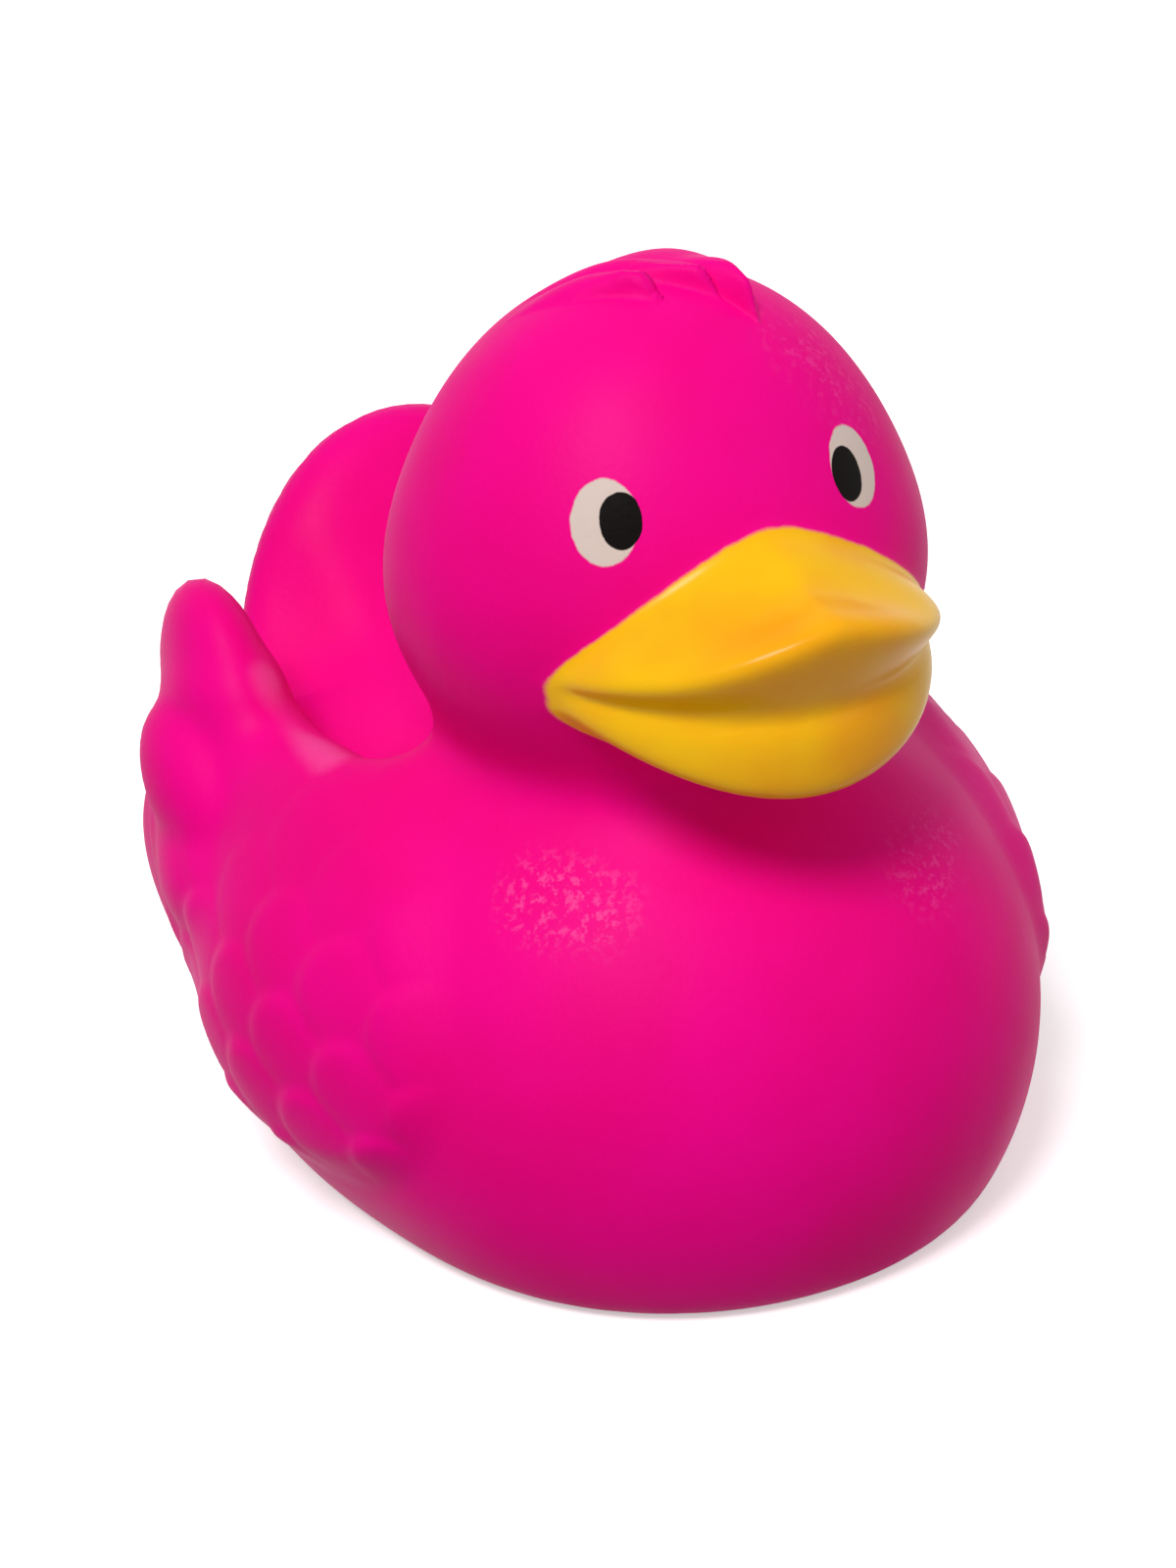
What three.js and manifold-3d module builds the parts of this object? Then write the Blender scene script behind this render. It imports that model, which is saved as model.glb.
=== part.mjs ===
// Rubber duck: a one-piece soft vinyl moulding with a squeaker pressed into its base.
// Millimetres. The duck faces -Y, +X is its own left side, and its flat base lies at z = 0.
import * as THREE from 'three';
import Module from 'manifold-3d';

// Driving dimensions. A form is an ellipsoid: its middle (y, z) and its half sizes (rx, ry, rz).
const head = { y: -12.4, z: 59.8, rx: 20.0, ry: 18.6, rz: 20.7 };
const cheek = { drop: 4.6, rx: 22.2, ry: 20.7, rz: 17.2, blend: 8.0 };
const belly = { y: -0.8, z: 17.0, rx: 36.5, ry: 32.0, rz: 28.0 };
const chest = { y: -16.7, z: 14.6, rx: 29.8, ry: 27.4, rz: 28.0, blend: 12.0 };
const tail = { y: 33.8, z: 27.3, rx: 20.3, ry: 8.7, rz: 27.8, lean: -20.7, blend: 24.0 };
const backHollow = { y: 13.5, z: 64.0, rx: 33.0, ry: 26.0, rz: 31.0, blend: 6.0 };
const gully = { x: 19.0, y: 15.0, z: 45.3, rx: 11.0, ry: 22.5, rz: 13.5, blend: 4.0 };
const neckBlend = 12.0;
const baseEdge = 3.0;

// Wing: a flap along the body's side, its raised tip feather, and the long feathers under the tip.
const wing = {
  x: 26.3, y: 9.4, z: 23.4, rx: 6.8, ry: 25.7, rz: 14.3, tilt: 8.4, yaw: 8.3,
  blend: 4.0, rearBlend: 8.0, rearFrom: 8.0, rearTo: 22.0, rearBelow: 34.0, rearAbove: 44.0,
};
const tipFeather = { x: 27.7, y: 20.0, z: 38.0, rx: 4.5, ry: 8.5, rz: 10.8, tilt: -28.0, blend: 6.0 };
const longFeathers = [
  { x: 30.9, y: 16.4, z: 32.1, rx: 4.4, ry: 5.5, rz: 8.4, tilt: -60.0 },
  { x: 31.0, y: 12.5, z: 25.0, rx: 4.6, ry: 5.2, rz: 8.0, tilt: -80.0 },
];
const longFeatherBlend = 1.6;
const plate = {
  z: 26.0, length: 26.5, height: 16.0, tilt: 20.0, raise: 1.0, soften: 2.4, inner: 10.0, outer: 18.0,
};
const scales = {
  relief: 0.65, pitch: 7.2, width: 7.6, turn: 38.0, overlap: 1.9, soften: 1.7, fadeFrom: 22.0, fade: 8.0,
  clearBelow: 24.0, faintAbove: 36.0, faint: 0.35, roundness: 0.56, camber: 0.35, rootFrom: 1.6, rootTo: 1.2,
};

// Bill: an upper half with a raised peak and a flared rim, and a lower half with a rolled lip.
const bill = {
  root: -17.0, y: -23.5, halfWidth: 16.9, reach: 20.0, edge: 4.6, blend: 1.6, mouthBlend: 2.0,
  zCorner: 54.0, zMouth: 52.4, zTip: 60.0, zPeak: 64.3, sideFall: 1.7, fallFrom: 7.0, fallTo: 20.0,
  hollow: 0.9, hollowAt: 13.5, hollowWidth: 3.0, groove: 2.4, sideGroove: 0.6, thinnestRim: 1.2,
};
const lowerBill = {
  halfWidth: 16.7, reach: 17.7, z: 45.5, sideLift: 6.2, edge: 3.2,
  lip: 1.2, lipHeight: 1.1, lipDrop: 3.0, undercut: 0.04,
};

// Tuft: a fringe of locks swept to the duck's left. x and y are a lock's tip, and it is measured
// back from there; rise and full are depths under the crown, rootFrom and rootTo run forward.
const tuft = { height: 1.1, roundness: 0.8, rootFrom: -2.0, rootTo: 11.0, tipRise: 1.6, rise: 10.4, full: 4.4 };
const locks = [
  { x: 5.5, y: -21.2, sweep: 0.22, halfWidth: 4.0, taper: 8.0, length: 22.0 },
  { x: 3.6, y: -18.9, sweep: 0.80, halfWidth: 2.4, taper: 5.0, length: 14.0 },
  { x: -0.9, y: -18.4, sweep: 0.75, halfWidth: 2.4, taper: 5.0, length: 11.0 },
];

// Squeaker and the socket that it is pressed into.
const seatGap = 0.3;
const socket = { y: -6.0, bore: 7.0, depth: 10.0, flangeBore: 9.2, flangeDepth: 1.6 };
const airHole = 1.6;
const turnSteps = 32;

// Skin: rays swing round a point low in the body and one in the head, and meet on a ring at the neck.
// Where they come out is then evened out by springs between neighbours.
const bodyPoint = new THREE.Vector3(0, 14, 7);
const footPoint = new THREE.Vector3(0, -6, 7);
const headPoint = new THREE.Vector3(0, head.y, head.z - 2);
const neckPoint = new THREE.Vector3(0, head.y + 1, head.z - 16);
const neckTilt = 16;
const raysAround = 100;
const frontShare = 0.22;
const bodyRows = 34;
const headRows = 33;
const billDetail = 0.5;
const tuftDetail = 0.5;
const spacings = 4;
const springPasses = 90;
const springStep = 0.22;
const rayReach = 75;
const raySteps = 60;
const halvings = 12;
const shiftY = -1.23;

const vinylPink = { name: 'vinyl_pink', color: 0xfb0a82, roughness: 0.42, metalness: 0.0 };
const plasticWhite = { name: 'plastic_white', color: 0xe9e7e2, roughness: 0.5, metalness: 0.0 };

// Smooth minimum and maximum: two surfaces meet in a fillet about k wide.
function smoothMin(a, b, k) {
  const h = Math.max(1 - Math.abs(a - b) / k, 0);
  return Math.min(a, b) - (h * h * h * k) / 6;
}

function smoothMax(a, b, k) {
  return -smoothMin(-a, -b, k);
}

function clamp(value, low, high) {
  return Math.min(Math.max(value, low), high);
}

function ease(from, to, value) {
  const t = clamp((value - from) / (to - from), 0, 1);
  return t * t * (3 - 2 * t);
}

// Distance to an ellipsoid at the origin, nearly true close to its surface.
function ellipsoid(x, y, z, rx, ry, rz) {
  const reach = Math.hypot(x / rx, y / ry, z / rz) + 1e-9;
  const slope = Math.hypot(x / (rx * rx), y / (ry * ry), z / (rz * rz)) + 1e-9;
  return (reach * (reach - 1)) / slope;
}

// Turns (y, z) by some degrees in the duck's side view.
function turned(y, z, degrees) {
  const a = THREE.MathUtils.degToRad(degrees);
  return [Math.cos(a) * y + Math.sin(a) * z, Math.cos(a) * z - Math.sin(a) * y];
}

function placedEllipsoid(x, y, z, form) {
  return ellipsoid(x, y - form.y, z - form.z, form.rx, form.ry, form.rz);
}

function leaningEllipsoid(x, y, z, form, degrees) {
  const [ty, tz] = turned(y - form.y, z - form.z, degrees);
  return ellipsoid(x, ty, tz, form.rx, form.ry, form.rz);
}

// Belly, chest and leaning tail run together; a hollow is taken out of the back and a gully beside each wing.
function bodyField(x, y, z) {
  const trunk = smoothMin(placedEllipsoid(x, y, z, belly), placedEllipsoid(x, y, z, chest), chest.blend);
  const withTail = smoothMin(trunk, leaningEllipsoid(x, y, z, tail, tail.lean), tail.blend);
  const hollowed = smoothMax(withTail, -placedEllipsoid(x, y, z, backHollow), backHollow.blend);
  return smoothMax(hollowed, -placedEllipsoid(Math.abs(x) - gully.x, y, z, gully), gully.blend);
}

function flapField(side, y, z) {
  const [wy, wz] = turned(y - wing.y, z - wing.z, -wing.tilt);
  const [wx, wt] = turned(side - wing.x, wy, -wing.yaw);
  const leaf = ellipsoid(wx, wt, wz, wing.rx, wing.ry, wing.rz);
  const tip = leaningEllipsoid(side - tipFeather.x, y, z, tipFeather, tipFeather.tilt);
  let flap = smoothMin(leaf, tip, tipFeather.blend);
  for (const feather of longFeathers) {
    const one = leaningEllipsoid(side - feather.x, y, z, feather, feather.tilt);
    flap = smoothMin(flap, one, longFeatherBlend);
  }
  return flap;
}

// Round-ended feathers in staggered rows, 0 to 1: each one rises towards its free end, up and back.
function scaleHeight(y, z) {
  const [along, across] = turned(y, z, scales.turn);
  const radius = scales.roundness * scales.width;
  const firstRow = Math.floor(along / scales.pitch);
  let height = 0;
  for (let row = firstRow - 2; row <= firstRow + 1; row += 1) {
    const shift = row % 2 === 0 ? 0 : scales.width / 2;
    const nearest = Math.round((across - shift) / scales.width);
    for (let column = nearest - 1; column <= nearest + 1; column += 1) {
      const ahead = along - (row + 0.5) * scales.pitch;
      const beside = across - column * scales.width - shift;
      const edge = (ahead > 0 ? Math.hypot(ahead, beside) : Math.abs(beside)) - radius;
      const tile = clamp(1 + (ahead - radius) / (scales.overlap * scales.pitch), 0, 1);
      const crown = 1 - scales.camber * clamp(Math.abs(beside) / radius, 0, 1) ** 2;
      const root = ease(-scales.rootFrom * scales.pitch, -scales.rootTo * scales.pitch, ahead);
      height = Math.max(height, tile * crown * root * ease(scales.soften, -scales.soften, edge));
    }
  }
  const clear = scales.faint + (1 - scales.faint) * ease(scales.faintAbove, scales.clearBelow, z);
  return height * clear * ease(scales.fadeFrom + scales.fade, scales.fadeFrom, along);
}

// How far the wing's face stands out from the body: a raised leaf that carries the feathers.
function wingRelief(side, y, z) {
  const [py, pz] = turned(y, z - plate.z, plate.tilt);
  const outline = ellipsoid(0, py, pz, 1, plate.length, plate.height);
  const mask = ease(plate.soften, -plate.soften, outline) * ease(plate.inner, plate.outer, side);
  return mask > 0 ? mask * (plate.raise + scales.relief * scaleHeight(y, z)) : 0;
}

// Distance inside or outside half an ellipse in plan, its straight side across the bill's root.
function planOutline(side, ahead, halfWidth, reach) {
  return ellipsoid(side, Math.max(ahead, 0), 0, halfWidth, reach, 1);
}

function upperBillField(side, ahead, z) {
  const sideShare = clamp(side / bill.halfWidth, 0, 1.1) ** bill.sideFall;
  const fall = (bill.zTip - bill.zPeak) * ease(bill.fallFrom, bill.fallTo, ahead);
  const dip = bill.hollow * Math.exp(-(((ahead - bill.hollowAt) / bill.hollowWidth) ** 2));
  const ridge = bill.zPeak + fall - dip;
  const top = ridge - (ridge - bill.zCorner) * sideShare;
  const openHeight = bill.zTip - bill.zMouth - (bill.zTip - bill.zCorner) * sideShare;
  const rimHeight = Math.max(openHeight, bill.thinnestRim);
  const share = clamp((z - bill.zMouth) / rimHeight, 0, 1);
  const frontShare = clamp(ahead / bill.reach, 0, 1);
  const inset = (bill.groove * frontShare ** 0.8 + bill.sideGroove) * (1 - share) ** 1.5;
  const face = planOutline(side, ahead, bill.halfWidth, bill.reach) + inset;
  return smoothMax(smoothMax(face, z - top, bill.edge), bill.zMouth - z - 0.2, 0.6);
}

function lowerBillField(side, ahead, z) {
  const depth = bill.zMouth - z;
  const frontShare = clamp(ahead / bill.reach, 0, 1);
  const lipInset = lowerBill.lip * Math.exp(-Math.max(depth, 0) / lowerBill.lipHeight) * frontShare;
  const undercut = lowerBill.undercut * Math.max(depth - lowerBill.lipDrop, 0) ** 2;
  const face = planOutline(side, ahead, lowerBill.halfWidth, lowerBill.reach) + lipInset + undercut;
  const bottom = lowerBill.z + lowerBill.sideLift * clamp(side / bill.halfWidth, 0, 1.1) ** 2;
  return smoothMax(smoothMax(face, bottom - z, lowerBill.edge), -depth - 0.4, 0.6);
}

function billField(x, y, z) {
  const side = Math.abs(x);
  const ahead = bill.y - y;
  const halves = smoothMin(upperBillField(side, ahead, z), lowerBillField(side, ahead, z), bill.mouthBlend);
  return smoothMax(halves, y - bill.root, 4);
}

// Height of the tuft, 0 to 1: rounded ridges side by side, each measured back from its pointed tip.
function tuftHeight(x, y) {
  let height = 0;
  for (const lock of locks) {
    const back = y - lock.y;
    const beside = x - lock.x + lock.sweep * back;
    const halfWidth = lock.halfWidth * clamp(back / lock.taper, 0.02, 1);
    const across = clamp(1 - (beside / halfWidth) ** 2, 0, 1) ** tuft.roundness;
    const fade = ease(lock.length, 0.4 * lock.length, back);
    height = Math.max(height, across * fade * ease(0, tuft.tipRise, back));
  }
  return height * ease(tuft.rootFrom, tuft.rootTo, -y);
}

// 1 on top of the head, 0 further down.
function onTuft(z) {
  const crown = head.z + head.rz;
  return ease(crown - tuft.rise, crown - tuft.full, z);
}

function headField(x, y, z) {
  const skull = placedEllipsoid(x, y, z, head);
  const cheeks = ellipsoid(x, y - head.y, z - head.z + cheek.drop, cheek.rx, cheek.ry, cheek.rz);
  const face = smoothMin(skull, cheeks, cheek.blend) - tuft.height * tuftHeight(x, y) * onTuft(z);
  return smoothMin(face, billField(x, y, z), bill.blend);
}

// The whole outside: below zero within the vinyl, above zero in the air.
function duckField(x, y, z) {
  const side = Math.abs(x);
  const atRear = ease(wing.rearFrom, wing.rearTo, y) * ease(wing.rearAbove, wing.rearBelow, z);
  const flapBlend = wing.blend + wing.rearBlend * atRear;
  const sides = smoothMin(bodyField(x, y, z), flapField(side, y, z), flapBlend) - wingRelief(side, y, z);
  const upright = smoothMin(sides, headField(x, y, z), neckBlend);
  return smoothMax(upright, -z, baseEdge);
}

// Where a ray from inside first leaves the duck.
function surfaceAlong(origin, direction) {
  const stride = rayReach / raySteps;
  const probe = new THREE.Vector3();
  const inside = (t) => {
    probe.copy(direction).multiplyScalar(t).add(origin);
    return duckField(probe.x, probe.y, probe.z) < 0;
  };
  let outer = stride;
  while (outer < rayReach && inside(outer)) outer += stride;
  let inner = outer - stride;
  for (let i = 0; i < halvings; i += 1) {
    const middle = (inner + outer) / 2;
    if (inside(middle)) inner = middle;
    else outer = middle;
  }
  return new THREE.Vector3().copy(direction).multiplyScalar((inner + outer) / 2).add(origin);
}

// A sweep's directions: from the pole, out level, then on to the neck ring.
function sweepDirection(pole, level, end, t) {
  const direction = new THREE.Vector3().addScaledVector(pole, (1 - t) ** 2);
  direction.addScaledVector(level, 2.2 * t * (1 - t));
  return direction.addScaledVector(end, t ** 2).normalize();
}

// One meridian of the first rough skin, from a pole to the neck ring.
function roughMeridian(start, end, pole, level, ringPoint, rows) {
  const toRing = ringPoint.clone().sub(end).normalize();
  return Array.from({ length: rows }, (unused, i) => {
    const t = i / (rows - 1);
    const origin = start.clone().lerp(end, ease(0, 1, t));
    return surfaceAlong(origin, sweepDirection(pole, level, toRing, t));
  });
}

// Moves a point along the field's slope to where the field is zero, by no more than 2 mm.
function ontoSurface(p) {
  const h = 0.04;
  const here = duckField(p.x, p.y, p.z);
  const slope = new THREE.Vector3(
    duckField(p.x + h, p.y, p.z) - here,
    duckField(p.x, p.y + h, p.z) - here,
    duckField(p.x, p.y, p.z + h) - here,
  ).divideScalar(h);
  const size = Math.max(slope.lengthSq(), 0.05);
  return p.clone().addScaledVector(slope, -clamp(here / size, -2, 2));
}

// How closely the skin is drawn together: more on the bill and on the tuft.
function detail(p) {
  const onBill = ease(bill.root - 10, bill.root - 14, p.y) * ease(42, 46, p.z) * ease(70, 66, p.z);
  return 1 + billDetail * onBill + tuftDetail * onTuft(p.z);
}

// Sets the points of one meridian evenly along it.
function spacedAlong(points) {
  const lengths = [0];
  for (let i = 1; i < points.length; i += 1) {
    const step = points[i].distanceTo(points[i - 1]) * (detail(points[i]) + detail(points[i - 1]));
    lengths.push(lengths[i - 1] + step + 0.1);
  }
  const whole = lengths[points.length - 1];
  let k = 1;
  return points.map((point, i) => {
    if (i === 0) return point;
    const wanted = (i / (points.length - 1)) * whole;
    while (k < points.length - 1 && lengths[k] < wanted) k += 1;
    const share = (wanted - lengths[k - 1]) / (lengths[k] - lengths[k - 1]);
    return ontoSurface(ontoSurface(points[k - 1].clone().lerp(points[k], share)));
  });
}

// Springs between neighbours, stiffer the longer they are. Each pass ends back on the surface.
function evened(meridians) {
  const around = meridians.length;
  const last = meridians[0].length - 1;
  return meridians.map((points, i) => {
    const beside = [meridians[(i + 1) % around], meridians[(i + around - 1) % around]];
    return points.map((point, row) => {
      if (row === 0 || row === last) return point;
      const target = new THREE.Vector3();
      let total = 0;
      for (const other of [points[row - 1], points[row + 1], beside[0][row], beside[1][row]]) {
        const weight = (detail(point) + detail(other)) ** 3 * (point.distanceToSquared(other) + 1e-4);
        target.addScaledVector(other, weight);
        total += weight;
      }
      return ontoSurface(point.clone().lerp(target.divideScalar(total), springStep));
    });
  });
}

// All meridians, each running from the middle of the base over the neck ring to the crown.
function duckMeridians() {
  const down = new THREE.Vector3(0, 0, -1);
  const up = new THREE.Vector3(0, 0, 1);
  const tilt = THREE.MathUtils.degToRad(neckTilt);
  let all = [];
  for (let i = 0; i < raysAround; i += 1) {
    const turn = (2 * Math.PI * i) / raysAround;
    const angle = turn - frontShare * Math.sin(turn);
    const level = new THREE.Vector3(Math.sin(angle), -Math.cos(angle), 0);
    const outward = new THREE.Vector3(level.x, level.y * Math.cos(tilt), level.y * Math.sin(tilt));
    const ringPoint = surfaceAlong(neckPoint, outward);
    const lower = roughMeridian(footPoint, bodyPoint, down, level, ringPoint, bodyRows);
    const upper = roughMeridian(headPoint, headPoint, up, level, ringPoint, headRows).reverse();
    all.push(lower.concat(upper.slice(1)));
  }
  for (let pass = 0; pass < spacings; pass += 1) all = all.map(spacedAlong);
  for (let pass = 0; pass < springPasses; pass += 1) all = evened(all);
  return all.map((points) => points.map((p, row) => (row === 0 ? p : ontoSurface(p))));
}

// Closes the meridians into one skin with a single point at each pole.
function skinGeometry(meridians) {
  const rows = meridians[0].length;
  const around = meridians.length;
  const positions = [];
  const faces = [];
  const push = (p) => positions.push(p.x, p.y + shiftY, Math.max(p.z, 0));
  push(meridians[0][0]);
  for (let row = 1; row < rows - 1; row += 1) {
    for (let i = 0; i < around; i += 1) push(meridians[i][row]);
  }
  push(meridians[0][rows - 1]);
  const top = positions.length / 3 - 1;
  const index = (row, i) => 1 + (row - 1) * around + (i % around);
  for (let i = 0; i < around; i += 1) {
    faces.push(0, index(1, i + 1), index(1, i));
    for (let row = 1; row < rows - 2; row += 1) {
      faces.push(index(row, i), index(row, i + 1), index(row + 1, i + 1));
      faces.push(index(row, i), index(row + 1, i + 1), index(row + 1, i));
    }
    faces.push(index(rows - 2, i), index(rows - 2, i + 1), top);
  }
  const geometry = new THREE.BufferGeometry();
  geometry.setAttribute('position', new THREE.Float32BufferAttribute(positions, 3));
  geometry.setIndex(faces);
  return geometry;
}

// A closed ring or disc turned about the upright axis from [radius, height] corners.
function turnedSolid(corners) {
  const points = corners.map(([radius, height]) => new THREE.Vector2(radius, height));
  const geometry = new THREE.LatheGeometry(points, turnSteps);
  geometry.rotateX(Math.PI / 2);
  geometry.translate(0, socket.y + shiftY, 0);
  return geometry;
}

function socketCutter() {
  return turnedSolid([
    [0, -1],
    [socket.flangeBore, -1],
    [socket.flangeBore, socket.flangeDepth],
    [socket.bore, socket.flangeDepth],
    [socket.bore, socket.depth],
    [0, socket.depth],
  ]);
}

function squeakerGeometry() {
  const barrel = socket.bore - seatGap;
  const flange = socket.flangeBore - seatGap;
  const flangeTop = socket.flangeDepth - seatGap;
  const top = socket.depth - seatGap;
  return turnedSolid([
    [airHole, seatGap],
    [flange, seatGap],
    [flange, flangeTop],
    [barrel, flangeTop],
    [barrel, top],
    [airHole, top],
    [airHole, seatGap],
  ]);
}

const wasm = await Module();
wasm.setup();

// Joins vertices that share a place, so that the mesh is closed.
function toManifold(geometry) {
  const source = geometry.index ? geometry.toNonIndexed() : geometry;
  const places = source.getAttribute('position');
  const known = new Map();
  const vertices = [];
  const triangles = [];
  for (let i = 0; i < places.count; i += 1) {
    const point = [places.getX(i), places.getY(i), places.getZ(i)];
    const key = point.map((value) => Math.round(value * 1000)).join(' ');
    if (!known.has(key)) {
      known.set(key, known.size);
      vertices.push(...point);
    }
    triangles.push(known.get(key));
  }
  const kept = [];
  for (let i = 0; i < triangles.length; i += 3) {
    const [a, b, c] = triangles.slice(i, i + 3);
    if (a !== b && b !== c && c !== a) kept.push(a, b, c);
  }
  const mesh = { numProp: 3, vertProperties: new Float32Array(vertices), triVerts: new Uint32Array(kept) };
  return new wasm.Manifold(new wasm.Mesh(mesh));
}

function toGeometry(manifold) {
  const mesh = manifold.getMesh();
  const geometry = new THREE.BufferGeometry();
  geometry.setAttribute('position', new THREE.Float32BufferAttribute(mesh.vertProperties, 3));
  geometry.setIndex(Array.from(mesh.triVerts));
  geometry.computeVertexNormals();
  return geometry;
}

function namedMesh(name, geometry, finish) {
  const mesh = new THREE.Mesh(geometry, new THREE.MeshStandardMaterial(finish));
  mesh.name = name;
  return mesh;
}

const skin = toManifold(skinGeometry(duckMeridians()));
const moulding = toGeometry(skin.subtract(toManifold(socketCutter())));

const group = new THREE.Group();
group.name = 'rubber_duck';
group.add(namedMesh('duck_body', moulding, vinylPink));
group.add(namedMesh('squeaker', squeakerGeometry(), plasticWhite));

export default group;
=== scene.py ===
import math
import bpy
import numpy as np
from mathutils import Matrix, Vector


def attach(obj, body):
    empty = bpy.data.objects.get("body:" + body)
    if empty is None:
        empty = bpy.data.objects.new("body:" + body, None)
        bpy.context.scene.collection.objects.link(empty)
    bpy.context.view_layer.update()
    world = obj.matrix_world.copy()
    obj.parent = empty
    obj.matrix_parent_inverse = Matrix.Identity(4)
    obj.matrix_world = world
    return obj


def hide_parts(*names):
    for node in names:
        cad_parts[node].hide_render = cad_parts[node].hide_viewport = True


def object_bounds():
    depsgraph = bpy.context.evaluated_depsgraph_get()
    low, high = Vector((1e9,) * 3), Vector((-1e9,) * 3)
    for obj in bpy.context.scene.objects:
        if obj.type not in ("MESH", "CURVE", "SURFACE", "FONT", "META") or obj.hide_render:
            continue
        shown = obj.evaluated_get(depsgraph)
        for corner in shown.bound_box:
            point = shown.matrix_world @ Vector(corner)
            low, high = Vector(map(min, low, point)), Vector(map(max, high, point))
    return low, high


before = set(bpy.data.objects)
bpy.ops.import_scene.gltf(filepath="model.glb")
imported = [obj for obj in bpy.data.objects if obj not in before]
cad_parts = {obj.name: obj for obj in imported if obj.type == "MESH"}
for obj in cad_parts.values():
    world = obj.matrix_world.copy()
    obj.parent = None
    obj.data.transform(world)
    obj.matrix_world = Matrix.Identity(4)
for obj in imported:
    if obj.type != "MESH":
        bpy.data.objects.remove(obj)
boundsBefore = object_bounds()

# the form is worked out in millimetres and put into the mesh in metres
mm = 0.001
shiftY = -1.23  # mm, brings the middle of the duck's box over the origin

# each form is an ellipsoid: its middle (y, z) and its half sizes (rx, ry, rz), in mm
head = {"y": -12.4, "z": 59.8, "rx": 20.0, "ry": 18.6, "rz": 20.7}
cheek = {"drop": 4.6, "rx": 22.2, "ry": 20.7, "rz": 17.2, "blend": 8.0}
belly = {"y": -0.8, "z": 17.0, "rx": 36.5, "ry": 32.0, "rz": 28.0}
chest = {"y": -16.7, "z": 14.6, "rx": 29.8, "ry": 27.4, "rz": 28.0, "blend": 12.0}
tail = {"y": 33.8, "z": 27.3, "rx": 20.3, "ry": 8.7, "rz": 27.8, "lean": -20.7, "blend": 24.0}
backHollow = {"y": 13.5, "z": 64.0, "rx": 33.0, "ry": 26.0, "rz": 31.0, "blend": 6.0}
gully = {"x": 19.0, "y": 15.0, "z": 45.3, "rx": 11.0, "ry": 22.5, "rz": 13.5, "blend": 4.0}
neckBlend = 12.0
baseEdge = 3.0
tiny = 1e-9  # keeps a division from meeting zero


def smoothMin(a, b, k):
    # the smaller of two distances, with a fillet about k wide where they meet
    h = np.clip(1 - np.abs(a - b) / k, 0, None)
    return np.minimum(a, b) - h * h * h * k / 6


def smoothMax(a, b, k):
    # the larger of two distances, with the same fillet
    return -smoothMin(-a, -b, k)


def ease(start, end, value):
    # 0 up to the start, 1 from the end on, and the smooth step 3 t^2 - 2 t^3 between them
    t = np.clip((value - start) / (end - start), 0, 1)
    return t * t * (3 - 2 * t)


def ellipsoid(x, y, z, rx, ry, rz):
    # distance to an ellipsoid at the origin: reach times (reach - 1) over slope, nearly true near its surface
    reach = np.sqrt((x / rx) ** 2 + (y / ry) ** 2 + (z / rz) ** 2) + tiny
    slope = np.sqrt((x / rx ** 2) ** 2 + (y / ry ** 2) ** 2 + (z / rz ** 2) ** 2) + tiny
    return reach * (reach - 1) / slope


def turned(y, z, degrees):
    # y and z in a frame that is turned about the x axis
    a = math.radians(degrees)
    return math.cos(a) * y + math.sin(a) * z, math.cos(a) * z - math.sin(a) * y


def placedEllipsoid(x, y, z, form):
    # distance to an ellipsoid round its own middle, where x is given from that middle
    return ellipsoid(x, y - form["y"], z - form["z"], form["rx"], form["ry"], form["rz"])


def leaningEllipsoid(x, y, z, form, degrees):
    # the same, leaning about the x axis
    ty, tz = turned(y - form["y"], z - form["z"], degrees)
    return ellipsoid(x, ty, tz, form["rx"], form["ry"], form["rz"])


def bodyField(x, y, z):
    # belly, chest and leaning tail run together; the back's hollow and a gully by each wing are taken out
    trunk = smoothMin(placedEllipsoid(x, y, z, belly), placedEllipsoid(x, y, z, chest), chest["blend"])
    withTail = smoothMin(trunk, leaningEllipsoid(x, y, z, tail, tail["lean"]), tail["blend"])
    hollowed = smoothMax(withTail, -placedEllipsoid(x, y, z, backHollow), backHollow["blend"])
    return smoothMax(hollowed, -placedEllipsoid(np.abs(x) - gully["x"], y, z, gully), gully["blend"])


wing = {
    "x": 26.3, "y": 9.4, "z": 23.4, "rx": 6.8, "ry": 25.7, "rz": 14.3,
    "tilt": 8.4, "yaw": 8.3, "blend": 4.0,
    "rearBlend": 8.0, "rearFrom": 8.0, "rearTo": 22.0, "rearBelow": 34.0, "rearAbove": 44.0,
}
tipFeather = {"x": 27.7, "y": 20.0, "z": 38.0, "rx": 4.5, "ry": 8.5, "rz": 10.8, "tilt": -28.0, "blend": 6.0}
longFeathers = [
    {"x": 30.9, "y": 16.4, "z": 32.1, "rx": 4.4, "ry": 5.5, "rz": 8.4, "tilt": -60.0},
    {"x": 31.0, "y": 12.5, "z": 25.0, "rx": 4.6, "ry": 5.2, "rz": 8.0, "tilt": -80.0},
]
longFeatherBlend = 1.6
plate = {
    "z": 26.0, "length": 26.5, "height": 16.0, "tilt": 20.0, "raise": 0.85, "soften": 2.4,
    "inner": 10.0, "outer": 18.0,
}
scales = {
    "relief": 0.85, "pitch": 7.2, "width": 7.6, "turn": 38.0, "overlap": 1.9, "soften": 1.4,
    "roundness": 0.56, "camber": 0.35, "rootFrom": 1.6, "rootTo": 1.2,
    "fadeFrom": 22.0, "fade": 8.0, "clearBelow": 24.0, "faintAbove": 36.0, "faint": 0.35,
}


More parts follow.
